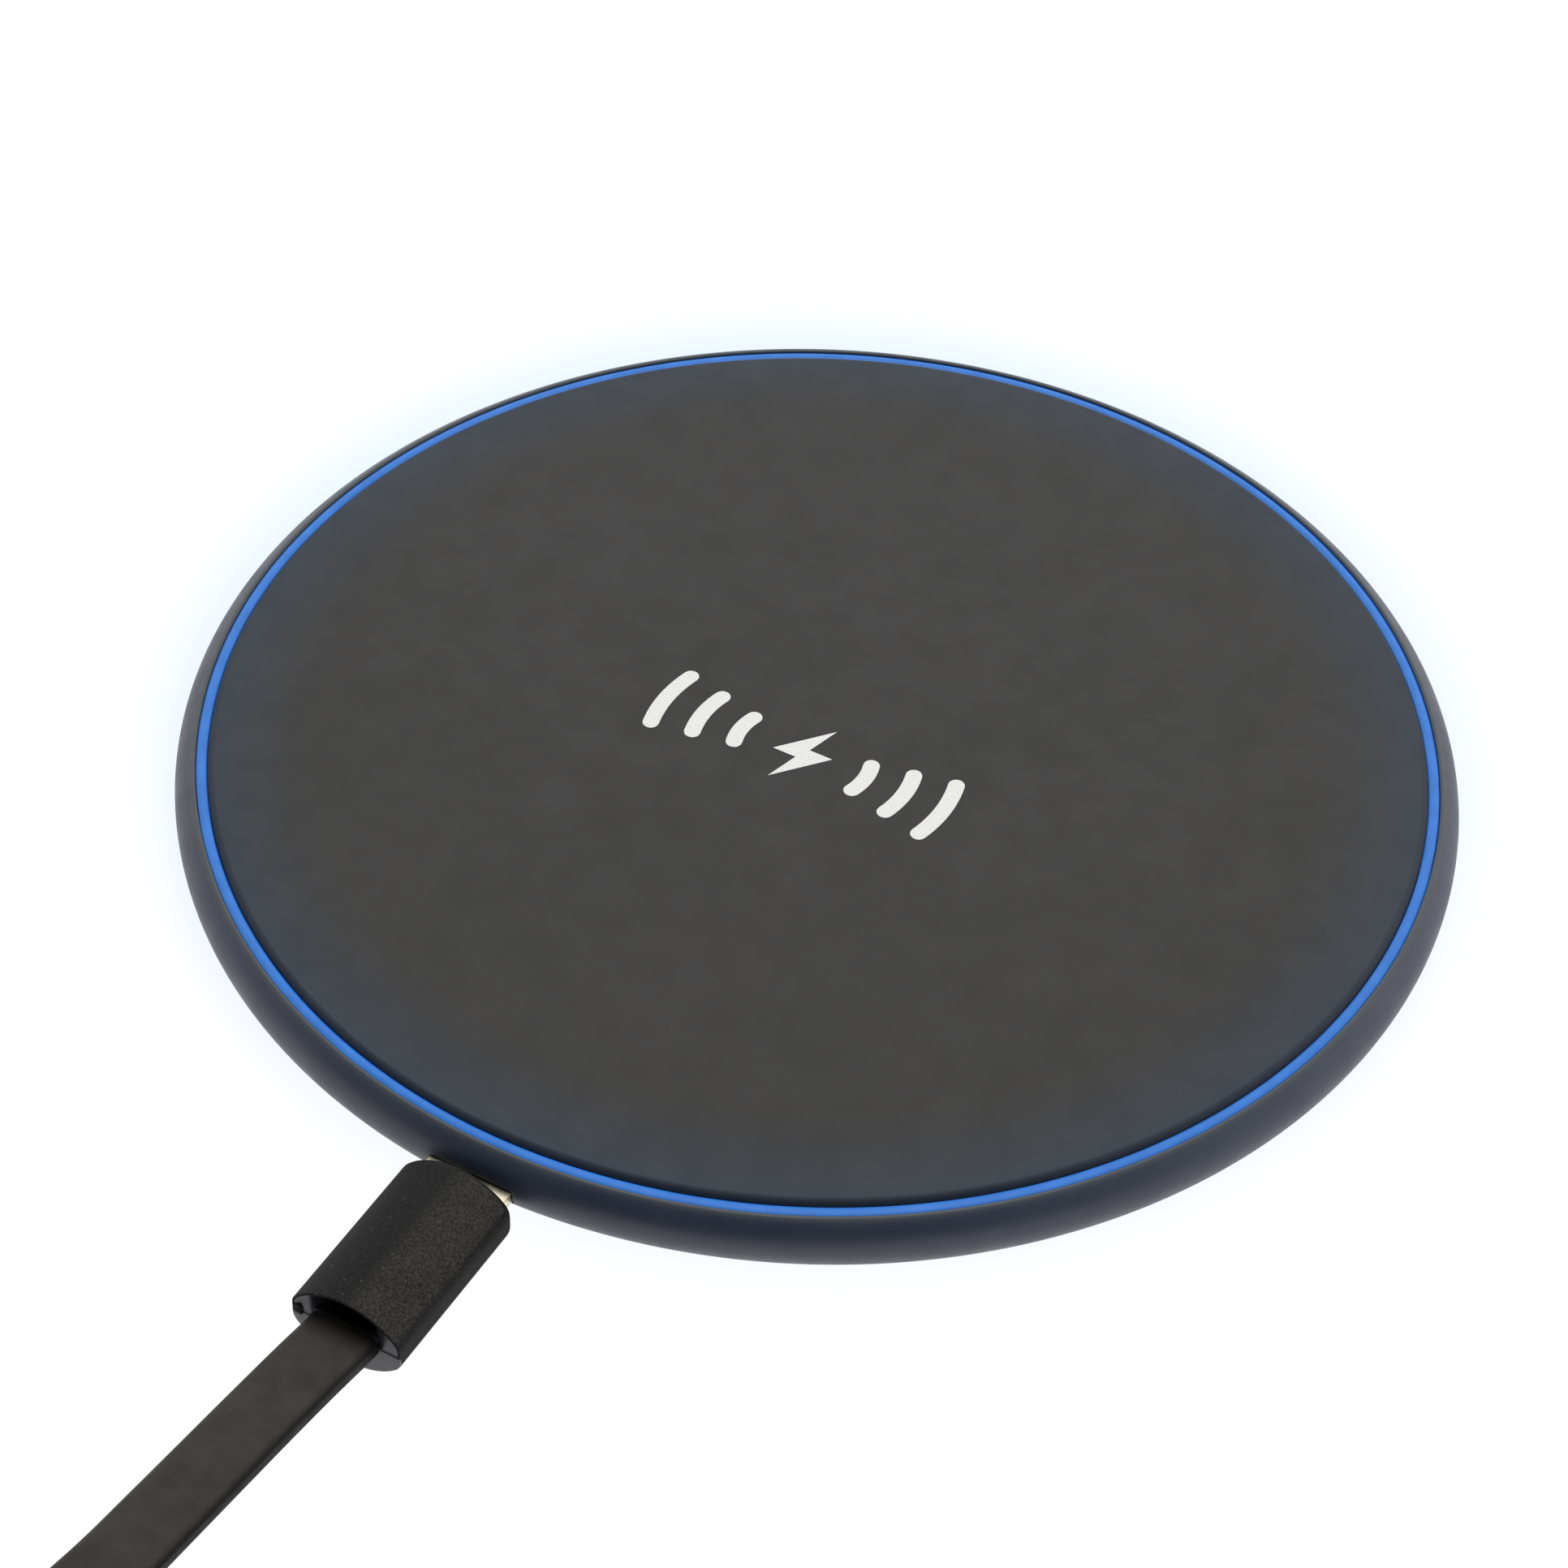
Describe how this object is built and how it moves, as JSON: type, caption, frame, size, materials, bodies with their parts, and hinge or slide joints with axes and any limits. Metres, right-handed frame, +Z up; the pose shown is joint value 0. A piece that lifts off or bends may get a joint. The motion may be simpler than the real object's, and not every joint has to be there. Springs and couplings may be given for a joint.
{
  "type": "wireless charging pad",
  "caption": "Slim round wireless charging pad with a soft-touch cover, a lit blue ring round its edge and a flat charging lead plugged into its side.",
  "frame": {"origin": "centre of the pad, on the table that it stands on", "axes": "+Z up, out of the charging face; the charging inlet and its lead are on the -Y side"},
  "size_m": [0.1151, 0.2061, 0.0075],
  "materials": {
    "case": "soft-touch paint over moulded plastic",
    "cover": "soft-touch paint, fine grain",
    "light_guide": "milky, lit from below in blue",
    "foot_rubber": "matt silicone",
    "label_film": "blank satin film",
    "screw_steel": "zinc plated",
    "board_green": "solder mask over glass fibre",
    "socket_metal": "nickel plated",
    "insulator_black": "moulded",
    "contact_gold": "gold plated",
    "winding_copper": "enamelled copper strands",
    "adhesive_film": "translucent",
    "ferrite": "sintered, dark grey",
    "foam": "open-cell foam",
    "sensor_body": "epoxy dipped",
    "chip_package": "moulded epoxy",
    "ceramic": "fired ceramic with tinned ends",
    "diode_package": "clear lens on white",
    "grip_plastic": "sand-blasted texture",
    "grip_core_plastic": "satin",
    "plug_metal": "nickel plated",
    "cable_jacket": "satin flat jacket",
    "tie_strap": "woven nylon",
    "insulator_white": "moulded"
  },
  "bodies": {
    "pad": {"base_shell": "case", "light_ring": "light_guide", "top_cover": "cover", "rubber_foot": "foot_rubber", "rating_label": "label_film", "case_screws": "screw_steel", "circuit_board": "board_green", "socket_shell": "socket_metal", "socket_tongue": "insulator_black", "socket_contacts": "contact_gold", "transmitter_coil": "winding_copper", "coil_adhesive": "adhesive_film", "ferrite_shield": "ferrite", "foam_pad": "foam", "coil_leads": "winding_copper", "coil_thermistor": "sensor_body", "controller_chip": "chip_package", "bridge_transistors": "chip_package", "resonant_capacitors": "ceramic", "input_capacitors": "ceramic", "chip_passives": "ceramic", "status_leds": "diode_package"},
    "charge_lead": {"plug_overmould": "grip_plastic", "plug_core": "grip_core_plastic", "plug_shell": "plug_metal", "plug_insert": "insulator_black", "plug_contacts": "contact_gold", "cable_lead": "cable_jacket", "cable_coil": "cable_jacket", "cable_tail": "cable_jacket", "cable_ties": "tie_strap", "supply_plug_overmould": "grip_plastic", "supply_plug_core": "grip_core_plastic", "supply_plug_shell": "plug_metal", "supply_plug_insert": "insulator_white", "supply_plug_contacts": "contact_gold"}
  },
  "joints": [
    {"name": "plug_slide", "type": "slide", "parent": "pad", "child": "charge_lead", "axis": [0, -1, 0], "range_m": [0, 0.012]}
  ]
}
